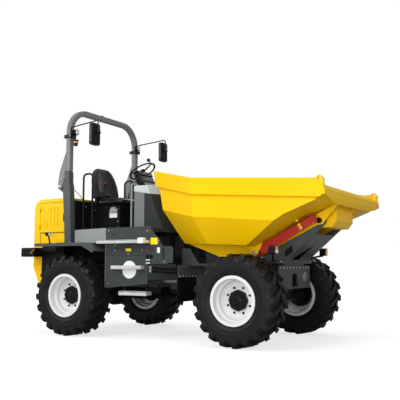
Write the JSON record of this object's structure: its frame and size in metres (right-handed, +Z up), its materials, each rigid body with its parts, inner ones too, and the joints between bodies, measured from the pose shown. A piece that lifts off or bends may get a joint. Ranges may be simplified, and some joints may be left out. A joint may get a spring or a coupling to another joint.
{
  "type": "site dumper",
  "caption": "Articulated front-tip site dumper with a tipping skip on raked arms, four lugged wheels, a rear engine hood with side doors and a folding roll-over hoop.",
  "frame": {"origin": "middle of the footprint on the ground, at the middle of the overall length and width", "axes": "+X forward towards the skip, +Y to the machine's left, +Z up"},
  "size_m": [4.686, 2.212, 3.1899],
  "materials": {
    "amber_lens": "gloss",
    "black_plastic": "satin",
    "black_steel": "satin",
    "black_vinyl": "satin",
    "dark_grey_paint": "satin",
    "flap_rubber": "matte",
    "light_grey_paint": "satin",
    "red_paint": "gloss",
    "rim_paint": "satin",
    "rod_chrome": "polished",
    "step_aluminium": "brushed",
    "tyre_rubber": "matte",
    "yellow_paint": "gloss"
  },
  "bodies": {
    "rear_frame": {"console": "light_grey_paint", "control_box": "black_plastic", "corner_panels": "light_grey_paint", "drive_shaft_rear": "black_steel", "engine_block": "black_steel", "engine_hood": "yellow_paint", "fenders": "dark_grey_paint", "footwell_wall": "black_plastic", "handrails": "black_plastic", "instrument_pod": "black_plastic", "platform": "dark_grey_paint", "rear_axle": "black_steel", "rear_chassis": "dark_grey_paint", "rops_lower": "dark_grey_paint", "seat_base": "black_plastic", "seat_cushions": "black_vinyl", "side_panels": "dark_grey_paint", "stalk_lamps": "black_steel", "steer_hoses": "flap_rubber", "steering_wheel": "black_plastic", "step_rails": "step_aluminium", "steps": "step_aluminium", "tail_lamps": "black_steel", "transmission_block": "black_steel"},
    "front_frame": {"front_chassis": "dark_grey_paint", "skip_arms": "dark_grey_paint", "front_axle": "black_steel", "drive_shaft_front": "black_steel", "mudguard_plates": "black_steel", "mudflaps": "flap_rubber", "signal_lamp_arms": "black_steel", "signal_lenses": "amber_lens"},
    "skip": {"skip_body": "yellow_paint", "safety_prop": "red_paint"},
    "steer_cylinder_barrel": {"steer_barrel": "black_steel"},
    "steer_cylinder_rod": {"steer_rod": "rod_chrome"},
    "tip_cylinder_barrel": {"tip_barrel": "black_steel"},
    "tip_cylinder_rod": {"tip_rod": "rod_chrome"},
    "folding_hoop": {"rops_hoop": "dark_grey_paint", "work_lamps": "black_steel", "beacon": "amber_lens", "mirrors": "black_plastic"},
    "hood_door_right_body": {"hood_door_right": "yellow_paint"},
    "hood_door_left_body": {"hood_door_left": "yellow_paint"},
    "wheel_front_right": {"hub_front_right": "black_steel", "rim_front_right": "rim_paint", "tyre_front_right": "tyre_rubber"},
    "wheel_front_left": {"hub_front_left": "black_steel", "rim_front_left": "rim_paint", "tyre_front_left": "tyre_rubber"},
    "wheel_rear_right": {"hub_rear_right": "black_steel", "rim_rear_right": "rim_paint", "tyre_rear_right": "tyre_rubber"},
    "wheel_rear_left": {"hub_rear_left": "black_steel", "rim_rear_left": "rim_paint", "tyre_rear_left": "tyre_rubber"}
  },
  "joints": [
    {"name": "steering", "type": "hinge", "parent": "rear_frame", "child": "front_frame", "pos_m": [-0.012, 0, 0.73], "axis": [0, 0, 1], "range_deg": [-30, 30]},
    {"name": "skip_tip", "type": "hinge", "parent": "front_frame", "child": "skip", "pos_m": [2.035, 0, 1.454], "axis": [0, 1, 0], "range_deg": [0, 55]},
    {"name": "wheel_turn_front_right", "type": "hinge", "parent": "front_frame", "child": "wheel_front_right", "pos_m": [1.253, -0.901, 0.535], "axis": [0, 1, 0], "continuous": true},
    {"name": "wheel_turn_front_left", "type": "hinge", "parent": "front_frame", "child": "wheel_front_left", "pos_m": [1.253, 0.901, 0.535], "axis": [0, 1, 0], "continuous": true},
    {"name": "wheel_turn_rear_right", "type": "hinge", "parent": "rear_frame", "child": "wheel_rear_right", "pos_m": [-1.278, -0.901, 0.535], "axis": [0, 1, 0], "continuous": true},
    {"name": "wheel_turn_rear_left", "type": "hinge", "parent": "rear_frame", "child": "wheel_rear_left", "pos_m": [-1.278, 0.901, 0.535], "axis": [0, 1, 0], "continuous": true},
    {"name": "steer_cylinder_swing", "type": "hinge", "parent": "rear_frame", "child": "steer_cylinder_barrel", "pos_m": [-0.512, -0.262, 0.73], "axis": [0, 0, 1], "range_deg": [-12, 12]},
    {"name": "steer_rod_slide", "type": "slide", "parent": "steer_cylinder_barrel", "child": "steer_cylinder_rod", "axis": [1, 0, 0], "range_m": [-0.14, 0.14]},
    {"name": "tip_cylinder_swing", "type": "hinge", "parent": "front_frame", "child": "tip_cylinder_barrel", "pos_m": [0.923, 0, 0.8], "axis": [0, -1, 0], "range_deg": [0, 25]},
    {"name": "tip_rod_slide", "type": "slide", "parent": "tip_cylinder_barrel", "child": "tip_cylinder_rod", "axis": [0.887, 0, 0.4617], "range_m": [0, 0.24]},
    {"name": "hoop_fold", "type": "hinge", "parent": "rear_frame", "child": "folding_hoop", "pos_m": [-1.677, 0, 2.043], "axis": [0, -1, 0], "range_deg": [0, 95]},
    {"name": "hood_door_right_turn", "type": "hinge", "parent": "rear_frame", "child": "hood_door_right_body", "pos_m": [-2.212, -0.652, 1.6], "axis": [0, 0, -1], "range_deg": [0, 90]},
    {"name": "hood_door_left_turn", "type": "hinge", "parent": "rear_frame", "child": "hood_door_left_body", "pos_m": [-2.212, 0.652, 1.6], "axis": [0, 0, 1], "range_deg": [0, 90]}
  ],
  "couplings": [
    {"joint": "steer_cylinder_swing", "follows": "steering", "ratio": 0.3092},
    {"joint": "steer_rod_slide", "follows": "steering", "m_per_rad": 0.2578},
    {"joint": "tip_cylinder_swing", "follows": "skip_tip", "ratio": 0.4175},
    {"joint": "tip_rod_slide", "follows": "skip_tip", "m_per_rad": 0.2365}
  ]
}
